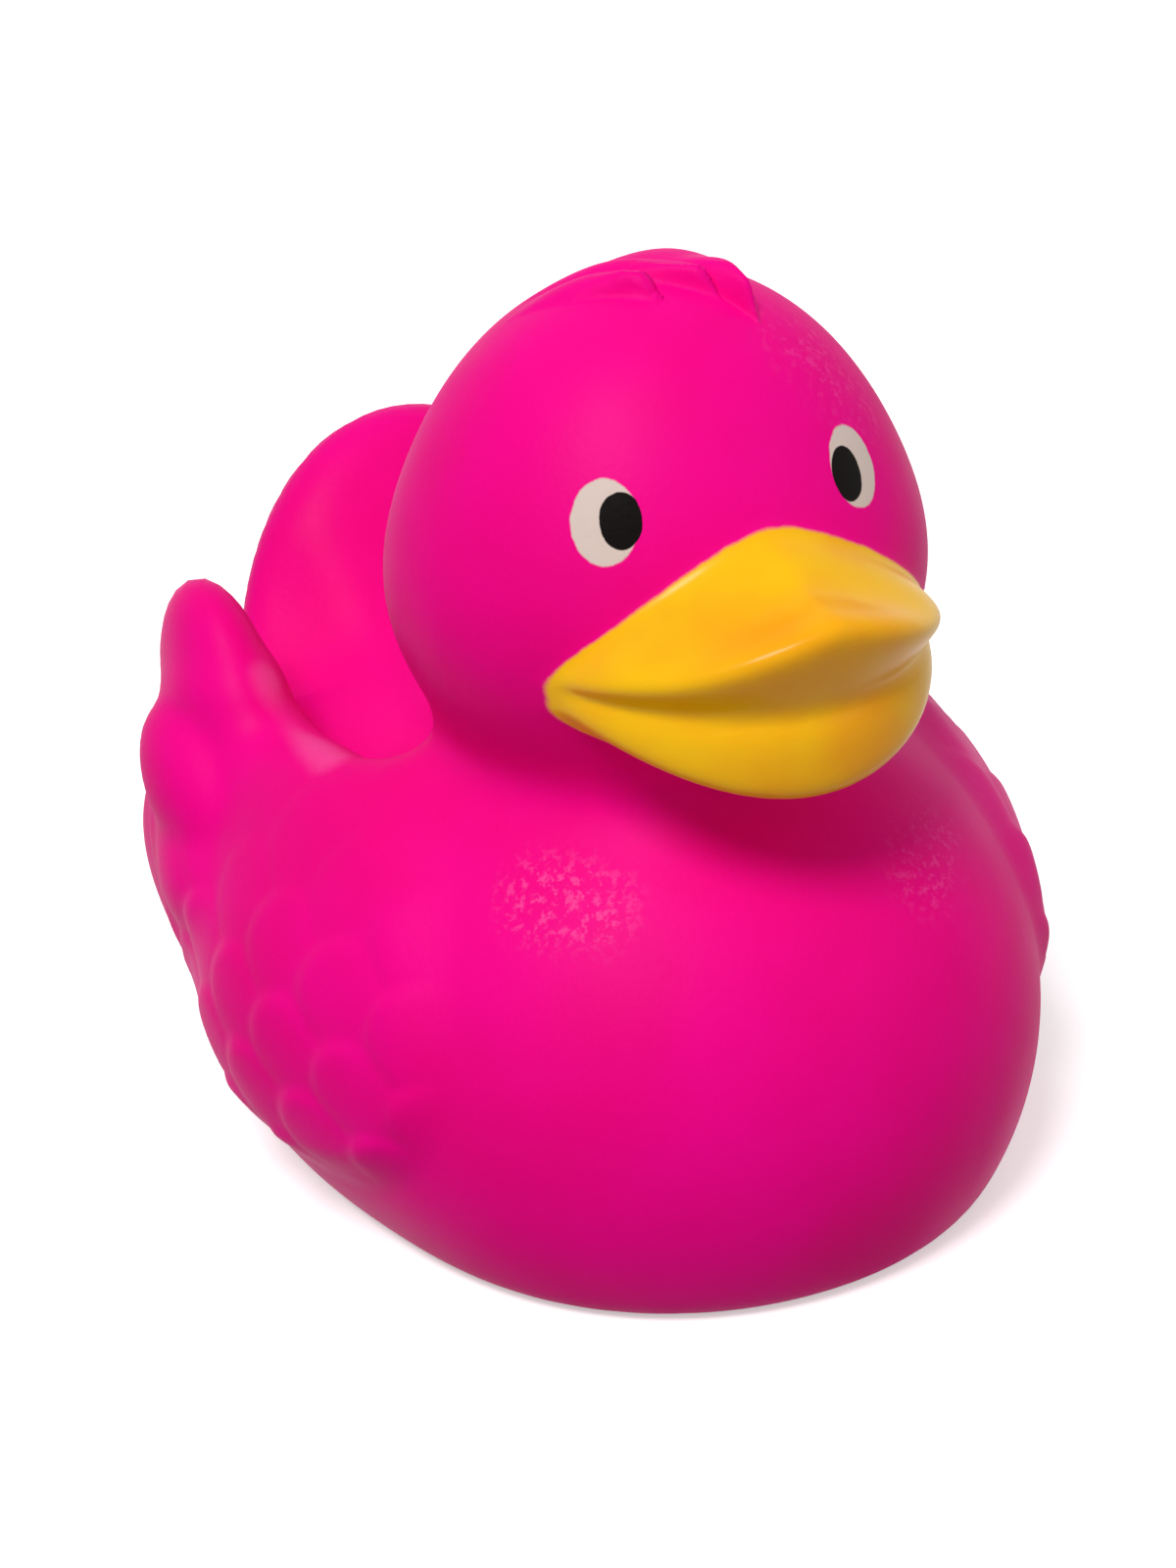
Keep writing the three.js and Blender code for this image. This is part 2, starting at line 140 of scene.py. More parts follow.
def flapField(side, y, z):
    # a leaf along the body's side, its raised tip feather and the long feathers under the tip
    wy, wz = turned(y - wing["y"], z - wing["z"], -wing["tilt"])
    wx, wt = turned(side - wing["x"], wy, -wing["yaw"])
    leaf = ellipsoid(wx, wt, wz, wing["rx"], wing["ry"], wing["rz"])
    tip = leaningEllipsoid(side - tipFeather["x"], y, z, tipFeather, tipFeather["tilt"])
    flap = smoothMin(leaf, tip, tipFeather["blend"])
    for feather in longFeathers:
        one = leaningEllipsoid(side - feather["x"], y, z, feather, feather["tilt"])
        flap = smoothMin(flap, one, longFeatherBlend)
    return flap


def scaleHeight(y, z):
    # round-ended feathers in staggered rows, 0 to 1: each rises towards its free end, up and back
    along, across = turned(y, z, scales["turn"])
    pitch, width = scales["pitch"], scales["width"]
    radius = scales["roundness"] * width
    height = np.zeros_like(along)
    for rowStep in (-2, -1, 0, 1):
        row = np.floor(along / pitch) + rowStep
        shift = np.where(np.mod(row, 2) > 0.5, width / 2, 0)
        nearest = np.round((across - shift) / width)
        for columnStep in (-1, 0, 1):
            ahead = along - (row + 0.5) * pitch
            beside = across - (nearest + columnStep) * width - shift
            edge = np.where(ahead > 0, np.hypot(ahead, beside), np.abs(beside)) - radius
            tile = np.clip(1 + (ahead - radius) / (scales["overlap"] * pitch), 0, 1)
            crown = 1 - scales["camber"] * np.clip(np.abs(beside) / radius, 0, 1) ** 2
            root = ease(-scales["rootFrom"] * pitch, -scales["rootTo"] * pitch, ahead)
            inside = ease(scales["soften"], -scales["soften"], edge)
            height = np.maximum(height, tile * crown * root * inside)
    clear = scales["faint"] + (1 - scales["faint"]) * ease(scales["faintAbove"], scales["clearBelow"], z)
    return height * clear * ease(scales["fadeFrom"] + scales["fade"], scales["fadeFrom"], along)


def wingRelief(side, y, z):
    # how far the wing's face stands out: a raised leaf, and the feathers' height on it
    py, pz = turned(y, z - plate["z"], plate["tilt"])
    outline = ellipsoid(0, py, pz, 1, plate["length"], plate["height"])
    mask = ease(plate["soften"], -plate["soften"], outline) * ease(plate["inner"], plate["outer"], side)
    relief = plate["raise"] * mask
    onWing = mask > 0
    relief[onWing] += mask[onWing] * scales["relief"] * scaleHeight(y[onWing], z[onWing])
    return relief


# an upper half with a raised peak and a flared rim, and a lower half with a rolled lip; y is where ahead is 0
bill = {
    "root": -17.0, "rootBlend": 4.0, "y": -23.5, "halfWidth": 16.9, "reach": 20.0, "edge": 3.0, "blend": 1.6,
    "zCorner": 54.0, "zMouth": 52.4, "zTip": 60.9, "zPeak": 64.3, "fallFrom": 7.0, "fallTo": 20.0,
    "sideFall": 1.7, "frontSideFall": 1.3, "sideFallFrom": 4.0, "sideFallTo": 16.0, "sideLimit": 1.1,
    "hollow": 0.9, "hollowAt": 13.5, "hollowWidth": 3.0, "thinnestRim": 1.2,
    "groove": 3.6, "sideGroove": 0.6, "grooveSpread": 0.8, "grooveBend": 1.5,
    "mouthBlend": 1.6, "mouthEdge": 0.6, "mouthOverlap": 0.2,
}
lowerBill = {
    "halfWidth": 16.7, "reach": 17.7, "z": 45.5, "sideLift": 6.2, "edge": 2.4,
    "lip": 1.2, "lipHeight": 1.1, "lipDrop": 3.0, "undercut": 0.025, "mouthOverlap": 0.4,
}


def planOutline(side, ahead, halfWidth, reach):
    # distance to half an ellipse in plan, its straight side across the bill's root
    return ellipsoid(side, np.maximum(ahead, 0), 0, halfWidth, reach, 1)


def upperBillField(side, ahead, z):
    # the ridge falls from peak to tip with a dip between, and from the ridge the top falls to the corners
    # as a power of the side's share; the face is drawn in towards the mouth by a groove
    frontward = ease(bill["sideFallFrom"], bill["sideFallTo"], ahead)
    sideFall = bill["sideFall"] + (bill["frontSideFall"] - bill["sideFall"]) * frontward
    sideShare = np.clip(side / bill["halfWidth"], 0, bill["sideLimit"]) ** sideFall
    fall = (bill["zTip"] - bill["zPeak"]) * ease(bill["fallFrom"], bill["fallTo"], ahead)
    dip = bill["hollow"] * np.exp(-(((ahead - bill["hollowAt"]) / bill["hollowWidth"]) ** 2))
    ridge = bill["zPeak"] + fall - dip
    top = ridge - (ridge - bill["zCorner"]) * sideShare
    rimHeight = bill["zTip"] - bill["zMouth"] - (bill["zTip"] - bill["zCorner"]) * sideShare
    rimHeight = np.maximum(rimHeight, bill["thinnestRim"])
    share = np.clip((z - bill["zMouth"]) / rimHeight, 0, 1)
    frontShare = np.clip(ahead / bill["reach"], 0, 1)
    depth = bill["groove"] * frontShare ** bill["grooveSpread"] + bill["sideGroove"]
    inset = depth * (1 - share) ** bill["grooveBend"]
    face = planOutline(side, ahead, bill["halfWidth"], bill["reach"]) + inset
    underside = bill["zMouth"] - z - bill["mouthOverlap"]
    return smoothMax(smoothMax(face, z - top, bill["edge"]), underside, bill["mouthEdge"])


def lowerBillField(side, ahead, z):
    # half an ellipse in plan, drawn in at the lip and, by the square of the depth, under it
    depth = bill["zMouth"] - z
    frontShare = np.clip(ahead / bill["reach"], 0, 1)
    lipInset = lowerBill["lip"] * np.exp(-np.maximum(depth, 0) / lowerBill["lipHeight"]) * frontShare
    undercut = lowerBill["undercut"] * np.maximum(depth - lowerBill["lipDrop"], 0) ** 2
    face = planOutline(side, ahead, lowerBill["halfWidth"], lowerBill["reach"]) + lipInset + undercut
    sideShare = np.clip(side / bill["halfWidth"], 0, bill["sideLimit"])
    bottom = lowerBill["z"] + lowerBill["sideLift"] * sideShare ** 2
    topside = -depth - lowerBill["mouthOverlap"]
    return smoothMax(smoothMax(face, bottom - z, lowerBill["edge"]), topside, bill["mouthEdge"])


def billField(x, y, z):
    # both halves, joined along the mouth and cut off inside the head
    side = np.abs(x)
    ahead = bill["y"] - y
    halves = smoothMin(upperBillField(side, ahead, z), lowerBillField(side, ahead, z), bill["mouthBlend"])
    return smoothMax(halves, y - bill["root"], bill["rootBlend"])


# a fringe of locks swept to the duck's left; x and y are a lock's tip, rise and full are depths under
# the crown, and the root and front places are measured forwards
tuft = {
    "height": 1.1, "roundness": 0.8, "tipRise": 1.6, "tipShare": 0.02, "fadeShare": 0.4,
    "rise": 10.4, "full": 4.4, "rootFrom": -2.0, "rootTo": 11.0,
    "frontShare": 1.1, "frontFrom": 13.0, "frontTo": 18.0,
}
locks = [
    {"x": 5.5, "y": -21.2, "sweep": 0.22, "halfWidth": 4.0, "taper": 8.0, "length": 22.0},
    {"x": 3.6, "y": -18.9, "sweep": 0.80, "halfWidth": 2.4, "taper": 5.0, "length": 14.0},
    {"x": -0.9, "y": -18.4, "sweep": 0.75, "halfWidth": 2.4, "taper": 5.0, "length": 11.0},
]


def tuftHeight(x, y):
    # rounded ridges side by side, 0 to 1, each measured back from its pointed tip
    height = np.zeros_like(x)
    for lock in locks:
        back = y - lock["y"]
        beside = x - lock["x"] + lock["sweep"] * back
        halfWidth = lock["halfWidth"] * np.clip(back / lock["taper"], tuft["tipShare"], 1)
        across = np.clip(1 - (beside / halfWidth) ** 2, 0, 1) ** tuft["roundness"]
        fade = ease(lock["length"], tuft["fadeShare"] * lock["length"], back)
        height = np.maximum(height, across * fade * ease(0, tuft["tipRise"], back))
    front = 1 + tuft["frontShare"] * ease(tuft["frontFrom"], tuft["frontTo"], -y)
    return height * front * ease(tuft["rootFrom"], tuft["rootTo"], -y)


def onTuft(z):
    # 1 on top of the head, 0 further down
    crown = head["z"] + head["rz"]
    return ease(crown - tuft["rise"], crown - tuft["full"], z)


def headField(x, y, z):
    # skull and cheeks, raised by the tuft, with the bill joined on
    skull = placedEllipsoid(x, y, z, head)
    cheeks = ellipsoid(x, y - head["y"], z - head["z"] + cheek["drop"], cheek["rx"], cheek["ry"], cheek["rz"])
    face = smoothMin(skull, cheeks, cheek["blend"]) - tuft["height"] * tuftHeight(x, y) * onTuft(z)
    return smoothMin(face, billField(x, y, z), bill["blend"])


def duckField(x, y, z):
    # the whole outside: below zero within the vinyl, above zero in the air
    side = np.abs(x)
    rearward = ease(wing["rearFrom"], wing["rearTo"], y) * ease(wing["rearAbove"], wing["rearBelow"], z)
    flapBlend = wing["blend"] + wing["rearBlend"] * rearward
    sides = smoothMin(bodyField(x, y, z), flapField(side, y, z), flapBlend) - wingRelief(side, y, z)
    upright = smoothMin(sides, headField(x, y, z), neckBlend)
    return smoothMax(upright, -z, baseEdge)


# a coarse grid is cast on rays from inside, then doubled twice, each time evened out on the surface;
# the pairs at the end are where the bill's closer grid starts and is full, in y and in z
skin = {
    "columns": 96, "lowerRows": 32, "upperRows": 33, "frontShare": 0.22, "levelPull": 2.2,
    "reach": 72, "stride": 1.3, "halvings": 11, "probe": 0.04, "flattest": 0.05, "furthest": 2,
    "foot": (0, -6, 7), "bodyPoint": (0, 14, 7), "crownDrop": 2,
    "neckBack": 1, "neckDrop": 16, "neckTilt": 16,
    "spacings": 4, "evenShare": 0.1, "passes": (80, 30, 10), "step": 0.22, "pullPower": 3, "shortest": 1e-4,
    "flatBelow": 0.02, "billDetail": 0.5, "tuftDetail": 0.5,
    "billBack": (-27, -31), "billBelow": (42, 46), "billAbove": (70, 66),
}
socket = {
    "y": -6.0, "bore": 7.0, "depth": 10.0, "flangeBore": 9.2, "flangeDepth": 1.6, "edge": 0.25,
    "centre": 0.02,
}


def surfaceAlong(origin, direction):
    # where each ray from inside first leaves the duck: strides outwards, then halving
    inner = np.zeros(direction.shape[1:])
    outer = np.full(direction.shape[1:], float(skin["reach"]))
    left = np.zeros(direction.shape[1:], bool)
    for stepEnd in np.arange(skin["stride"], skin["reach"], skin["stride"]):
        out = duckField(*(origin + stepEnd * direction)) > 0
        outer = np.where(out & ~left, stepEnd, outer)
        left |= out
        inner = np.where(left, inner, stepEnd)
    for halving in range(skin["halvings"]):
        middle = (inner + outer) / 2
        inside = duckField(*(origin + middle * direction)) < 0
        inner = np.where(inside, middle, inner)
        outer = np.where(inside, outer, middle)
    return origin + (inner + outer) / 2 * direction


def headings():
    # level directions round the duck: the angle less a share of its sine, so closer together at the front
    turn = np.linspace(0, 2 * np.pi, skin["columns"], endpoint=False)
    angle = turn - skin["frontShare"] * np.sin(turn)
    return np.stack([np.sin(angle), -np.cos(angle), np.zeros(skin["columns"])])


def neckRing(level):
    # rays from the middle of the neck in a plane that rises towards the back
    tilt = math.radians(skin["neckTilt"])
    outward = np.stack([level[0], level[1] * math.cos(tilt), level[1] * math.sin(tilt)])
    middle = np.array([0, head["y"] + skin["neckBack"], head["z"] - skin["neckDrop"]])
    return surfaceAlong(middle[:, None] + 0 * outward, outward)


def halfSkin(startOrigin, endOrigin, startDirections, rows):
    # rays from the start's directions, out level and on to the neck's ring: a curve of degree two in t
    level = headings()
    t = np.linspace(0, 1, rows)[None, :, None]
    origin = startOrigin[:, None, None] + ease(0, 1, t) * (endOrigin - startOrigin)[:, None, None]
    toRing = neckRing(level) - endOrigin[:, None]
    toRing = (toRing / np.linalg.norm(toRing, axis=0))[:, None, :]
    bend = skin["levelPull"] * t * (1 - t) * level[:, None, :]
    direction = (1 - t) ** 2 * startDirections(level)[:, None, :] + bend + t ** 2 * toRing
    return surfaceAlong(origin, direction / np.linalg.norm(direction, axis=0))


def finer(grid):
    # twice the rows and columns, the new points halfway between the old ones
    tall = np.empty((3, 2 * grid.shape[1] - 1, grid.shape[2]))
    tall[:, ::2] = grid
    tall[:, 1::2] = (grid[:, 1:] + grid[:, :-1]) / 2
    wide = np.empty((3, tall.shape[1], 2 * grid.shape[2]))
    wide[:, :, ::2] = tall
    wide[:, :, 1::2] = (tall + np.roll(tall, -1, 2)) / 2
    return wide


def ontoSurface(points):
    # each point moves down the field's slope by the field over the slope's size, but no further than a limit
    x, y, z = points
    h = skin["probe"]
    here = duckField(x, y, z)
    slope = np.stack([duckField(x + h, y, z), duckField(x, y + h, z), duckField(x, y, z + h)]) - here
    slope /= h
    size = np.maximum((slope ** 2).sum(0), skin["flattest"])
    return points - np.clip(here / size, -skin["furthest"], skin["furthest"]) * slope


def detail(points):
    # how closely the grid is drawn together: more on the bill and on the tuft
    x, y, z = points
    onBill = ease(*skin["billBack"], y) * ease(*skin["billBelow"], z) * ease(*skin["billAbove"], z)
    return 1 + skin["billDetail"] * onBill + skin["tuftDetail"] * onTuft(z)


def spacedAlong(grid):
    # the points of each column are set evenly along it, with a little sway from the columns beside it
    lengths = np.linalg.norm(np.diff(grid, axis=1), axis=0)
    pull = detail(grid)
    lengths = lengths * (pull[1:] + pull[:-1]) + skin["evenShare"] * lengths.mean()
    lengths = (np.roll(lengths, -1, 1) + 2 * lengths + np.roll(lengths, 1, 1)) / 4
    along = np.concatenate([0 * lengths[:1], np.cumsum(lengths, 0)])
    along /= along[-1]
    wanted = np.linspace(0, 1, grid.shape[1])
    spaced = [[np.interp(wanted, along[:, j], axis[:, j]) for j in range(grid.shape[2])] for axis in grid]
    return ontoSurface(ontoSurface(np.array(spaced).transpose(0, 2, 1)))


def evened(grid, passes):
    # springs between neighbours, stiffer the longer they are; each pass ends back on the surface
    for onePass in range(passes):
        pull = detail(grid)
        middle = grid[:, 1:-1]
        sides = (np.roll(grid, 1, 2), np.roll(grid, -1, 2))
        pulls = (np.roll(pull, 1, 1), np.roll(pull, -1, 1))
        neighbours = (sides[0][:, 1:-1], sides[1][:, 1:-1], grid[:, :-2], grid[:, 2:])
        weights = (pulls[0][1:-1], pulls[1][1:-1], pull[:-2], pull[2:])
        lengths = [np.linalg.norm(n - middle, axis=0) for n in neighbours]
        stiffness = [length ** 2 + skin["shortest"] for length in lengths]
        weights = [(w + pull[1:-1]) ** skin["pullPower"] * k for w, k in zip(weights, stiffness)]
        target = sum(w * n for w, n in zip(weights, neighbours)) / sum(weights)
        grid[:, 1:-1] = ontoSurface(middle + skin["step"] * (target - middle))
    grid[:, 1:-1] = ontoSurface(ontoSurface(grid[:, 1:-1]))
    return grid


def socketRows(level):
    # rings down the socket's wall, from its closed end out to its rim in the flat base
    edge = socket["edge"]
    corners = [
        (socket["centre"], socket["depth"]),
        (socket["bore"], socket["depth"]),
        (socket["bore"], socket["flangeDepth"] + edge),
        (socket["bore"] + edge, socket["flangeDepth"]),
        (socket["flangeBore"], socket["flangeDepth"]),
        (socket["flangeBore"], edge),
    ]
    radius, height = np.array(corners).T
    x = radius[:, None] * level[0]
    y = radius[:, None] * level[1] + socket["y"]
    return np.stack([x, y, height[:, None] + 0 * x])


def duckSkin():
    # the grid of the whole skin, from the end of the socket over the base, body and neck to the crown
    foot = np.array(skin["foot"], float)
    crown = np.array([0, head["y"], head["z"] - skin["crownDrop"]])
    rim = socket["flangeBore"] + socket["edge"]

    def coneDown(level):
        # from the foot to the socket's rim
        toRim = rim * level
        toRim[2] = -foot[2]
        return toRim / np.linalg.norm(toRim, axis=0)

    def straightUp(level):
        return np.repeat([[0.0], [0.0], [1.0]], level.shape[1], 1)

    lower = halfSkin(foot, np.array(skin["bodyPoint"], float), coneDown, skin["lowerRows"])
    upper = halfSkin(crown, crown, straightUp, skin["upperRows"])
    grid = np.concatenate([lower, upper[:, ::-1][:, 1:]], axis=1)
    grid[:, -1] = grid[:, -1].mean(1, keepdims=True)
    base = grid[:, :1].copy()
    for spacing in range(skin["spacings"]):
        grid = np.concatenate([base, spacedAlong(grid)[:, 1:]], axis=1)
    for level, passes in enumerate(skin["passes"]):
        grid = evened(finer(grid) if level else grid, passes)
    across = grid[:2, 0] - np.array([[0], [socket["y"]]])
    around = across / np.hypot(*across)
    grid[:2, 0] = rim * around + np.array([[0], [socket["y"]]])
    grid[2] = np.where(grid[2] < skin["flatBelow"], 0, grid[2])
    return np.concatenate([socketRows(np.concatenate([around, 0 * around[:1]])), grid], axis=1)


def closedMesh(name, grid):
    # the grid's rows become rings of quads, its first and last rows single points
    rows, columns = grid.shape[1:]
    ends = grid[:, [0, -1]].mean(2)
    rings = grid[:, 1:-1].reshape(3, -1)
    places = np.concatenate([ends[:, :1], rings, ends[:, 1:]], 1).T
    ringCount = rows - 2
    index = 1 + np.arange(ringCount * columns).reshape(ringCount, columns)
    after = np.roll(index, -1, 1)
    quads = np.stack([index[:-1], after[:-1], after[1:], index[1:]], -1).reshape(-1, 4)
    last = len(places) - 1
    firstFan = np.stack([0 * index[0], after[0], index[0]], -1)
    lastFan = np.stack([0 * index[0] + last, index[-1], after[-1]], -1)
    mesh = bpy.data.meshes.new(name)
    mesh.from_pydata((places * mm).tolist(), [], quads.tolist() + firstFan.tolist() + lastFan.tolist())
    mesh.update()
    mesh.polygons.foreach_set("use_smooth", np.ones(len(mesh.polygons), bool))
    piece = bpy.data.objects.new(name, mesh)
    bpy.context.collection.objects.link(piece)
    return piece, places


def addField(piece, name, values):
    # a number at each of the mesh's points, which the materials read by its name
    attribute = piece.data.attributes.new(name, "FLOAT", "POINT")
    attribute.data.foreach_set("value", np.asarray(values, np.float32))


# a noise is its scale and detail; a tone is the range of it over which one colour turns to the other
# the pale pink is used for the rubbed places and for a painted highlight along a wing's ridge
vinyl = {
    "pink": (0.96, 0.0004, 0.275), "pinkDeep": (0.90, 0.0004, 0.225), "rubbedAndHighlit": (0.98, 0.10, 0.40),
    "toneNoise": (38.0, 3.0), "tone": (0.35, 0.65), "roughness": 0.48, "glossChange": 0.12, "specular": 0.05,
    "subsurface": 0.06, "subsurfaceRadius": (1.0, 0.3, 0.5), "subsurfaceScale": 0.002,
    "grain": 0.5, "waves": 1.0, "bump": 0.00006, "bumpStrength": 1.0,
}
billPaint = {
    "yellow": (1.0, 0.54, 0.002), "orange": (0.96, 0.38, 0.002),
    "toneNoise": (60.0, 3.0), "tone": (0.35, 0.7), "roughness": 0.36, "coat": 0.2, "coatRoughness": 0.2,
    "edge": 0.55, "edgeSoft": 0.16, "ragged": 0.35, "raggedNoise": (500.0, 5.0),
    "halfWidth": 16.8, "roundEnd": 2.0,
}
# places on the head's surface in mm, half sizes in mm, and the ovals' turn in degrees
eyes = {
    # the eye white is tinted pink, partly as thin paint over the pink vinyl and partly as a painted pink
    # reflection
    "white": (0.74, 0.60, 0.54), "pupil": (0.004, 0.002, 0.002), "ragged": 0.12,
    "whiteHalf": (2.6, 3.3), "pupilHalf": (1.65, 2.2),
}
eyePlaces = [
    {"whiteAt": (-11.7, -27.4, 66.2), "pupilAt": (-10.6, -28.0, 66.3), "turn": -4.0},
    {"whiteAt": (9.6, -28.25, 66.85), "pupilAt": (8.7, -28.9, 66.6), "turn": 16.0},
]
# rubbed places, and last a painted highlight along a wing's ridge: where each starts and ends, how wide it
# is, how much it shows, and its share of specks
rubsAndHighlight = [
    {"from": (-18.5, -26.5, 36.0), "to": (-15.0, -29.0, 34.8), "radius": 5.6, "amount": 0.6, "specks": 1.0},
    {"from": (12.2, -34.0, 33.2), "to": (16.0, -31.0, 34.5), "radius": 5.5, "amount": 0.35, "specks": 1.0},
    {"from": (9.1, -21.6, 75.1), "to": (12.0, -24.0, 71.5), "radius": 6.5, "amount": 0.28, "specks": 1.0},
    # a painted highlight along the wing's top ridge, pale and nearly without specks
    {"from": (-25.6, 12.0, 42.4), "to": (-25.2, 0.0, 38.6), "radius": 2.6, "amount": 0.6, "specks": 0.15},
]

# the skin is kept within the box of the CAD model
grid = duckSkin() + np.array([0, shiftY, 0])[:, None, None]
lowest, highest = (np.array(corner)[:, None, None] / mm for corner in boundsBefore)
duck, places = closedMesh("duck_skin", np.clip(grid, lowest, highest))
px, py, pz = places.T
paintEnd = np.abs(px) - billPaint["halfWidth"]
addField(duck, "billDistance", smoothMax(billField(px, py - shiftY, pz), paintEnd, billPaint["roundEnd"]))
print("skin:", len(duck.data.polygons), "faces")


# materials

def feed(tree, entry, value):
    # another node's output is linked, anything else becomes the socket's value
    if isinstance(value, bpy.types.NodeSocket):
        tree.links.new(value, entry)
    else:
        entry.default_value = value


def addNode(tree, kind, settings=None, **inputs):
    # a node with its settings and inputs; i0, i1 and i2 are its inputs by number, the others go by name
    node = tree.nodes.new(kind)
    for key, value in (settings or {}).items():
        setattr(node, key, value)
    for key, value in inputs.items():
        numbered = key[0] == "i" and key[1:].isdigit()
        feed(tree, node.inputs[int(key[1:]) if numbered else key.replace("_", " ")], value)
    return node


def maths(tree, operation, first, second=0.0, third=0.0):
    return addNode(tree, "ShaderNodeMath", {"operation": operation}, i0=first, i1=second, i2=third).outputs[0]


def vectorMaths(tree, operation, **inputs):
    return addNode(tree, "ShaderNodeVectorMath", {"operation": operation}, **inputs).outputs


def mapped(tree, value, fromMin, fromMax, toMin=0.0, toMax=1.0):
    # a smooth step from one range to another
    ranges = {"From_Min": fromMin, "From_Max": fromMax, "To_Min": toMin, "To_Max": toMax}
    settings = {"interpolation_type": "SMOOTHSTEP"}
    return addNode(tree, "ShaderNodeMapRange", settings, Value=value, **ranges).outputs[0]


def mixed(tree, share, first, second):
    # from the first colour to the second by the share
    colours = [(*colour, 1) if isinstance(colour, tuple) else colour for colour in (first, second)]
    node = addNode(tree, "ShaderNodeMix", {"data_type": "RGBA"}, i0=share, i6=colours[0], i7=colours[1])
    return node.outputs[2]


def noise(tree, position, scale, detail, roughness=0.55):
    inputs = {"Vector": position, "Scale": scale, "Detail": detail, "Roughness": roughness}
    return addNode(tree, "ShaderNodeTexNoise", None, **inputs).outputs[0]


def ragged(tree, position, look, amount):
    # noise about zero, to be added to a distance before the edge is drawn
    centred = maths(tree, "SUBTRACT", noise(tree, position, *look), 0.5)
    return maths(tree, "MULTIPLY", centred, amount)


def newGroup(name, ins, outs):
    # an empty group with its inputs and outputs, each given as a label and a kind
    tree = bpy.data.node_groups.new(name, "ShaderNodeTree")
    for label, kind in ins:
        tree.interface.new_socket(name=label, in_out="INPUT", socket_type="NodeSocket" + kind)
    for label, kind in outs:
        tree.interface.new_socket(name=label, in_out="OUTPUT", socket_type="NodeSocket" + kind)
    return tree, tree.nodes.new("NodeGroupInput").outputs, tree.nodes.new("NodeGroupOutput").inputs


def useGroup(tree, group, **inputs):
    # a group in a material, with its inputs by name
    node = tree.nodes.new("ShaderNodeGroup")
    node.node_tree = group
    for key, value in inputs.items():
        feed(tree, node.inputs[key], value)
    return node.outputs


moulding = {
    "grainNoise": (1700.0, 4.0), "waveNoise": (90.0, 2.0), "patchNoise": (45.0, 3.0),
    "patches": (0.3, 0.7), "gloss": (-0.5, 0.5),
}


def mouldedGroup():
    # faint grain and slow waves of a moulded skin: a bump height and a gloss that changes a little
    ins = [("Position", "Vector"), ("Grain", "Float"), ("Waves", "Float")]
    tree, given, put = newGroup("mouldedSurface", ins, [("Height", "Float"), ("Gloss", "Float")])
    grain = maths(tree, "MULTIPLY", noise(tree, given["Position"], *moulding["grainNoise"]), given["Grain"])
    waves = maths(tree, "MULTIPLY", noise(tree, given["Position"], *moulding["waveNoise"]), given["Waves"])
    patches = noise(tree, given["Position"], *moulding["patchNoise"])
    tree.links.new(maths(tree, "ADD", grain, waves), put["Height"])
    tree.links.new(mapped(tree, patches, *moulding["patches"], *moulding["gloss"]), put["Gloss"])
    return tree


# the edge is in shares of the oval's half sizes, and reach in metres keeps the oval off the back of the head
ovalEdge = {"noise": (900.0, 4.0), "edge": (1.04, 0.97), "reach": (0.0065, 0.006)}


def ovalGroup():
    # a painted oval: 1 inside, 0 outside, measured along its own two directions with an uneven edge
    directions = [("Centre", "Vector"), ("Across", "Vector"), ("Up", "Vector")]
    ins = [("Position", "Vector"), *directions, ("Raggedness", "Float")]
    tree, given, put = newGroup("paintedOval", ins, [("Mask", "Float")])
    offset = vectorMaths(tree, "SUBTRACT", i0=given["Position"], i1=given["Centre"])[0]
    across = vectorMaths(tree, "DOT_PRODUCT", i0=offset, i1=given["Across"])[1]
    up = vectorMaths(tree, "DOT_PRODUCT", i0=offset, i1=given["Up"])[1]
    squares = maths(tree, "ADD", maths(tree, "MULTIPLY", across, across), maths(tree, "MULTIPLY", up, up))
    uneven = ragged(tree, given["Position"], ovalEdge["noise"], given["Raggedness"])
    inside = mapped(tree, maths(tree, "ADD", maths(tree, "SQRT", squares), uneven), *ovalEdge["edge"])
    near = mapped(tree, vectorMaths(tree, "LENGTH", i0=offset)[1], *ovalEdge["reach"])
    tree.links.new(maths(tree, "MULTIPLY", inside, near), put["Mask"])
    return tree


rubAndHighlightLook = {"fade": (1.0, 0.2), "noise": (1300.0, 6.0, 0.7), "specks": (0.50, 0.62)}


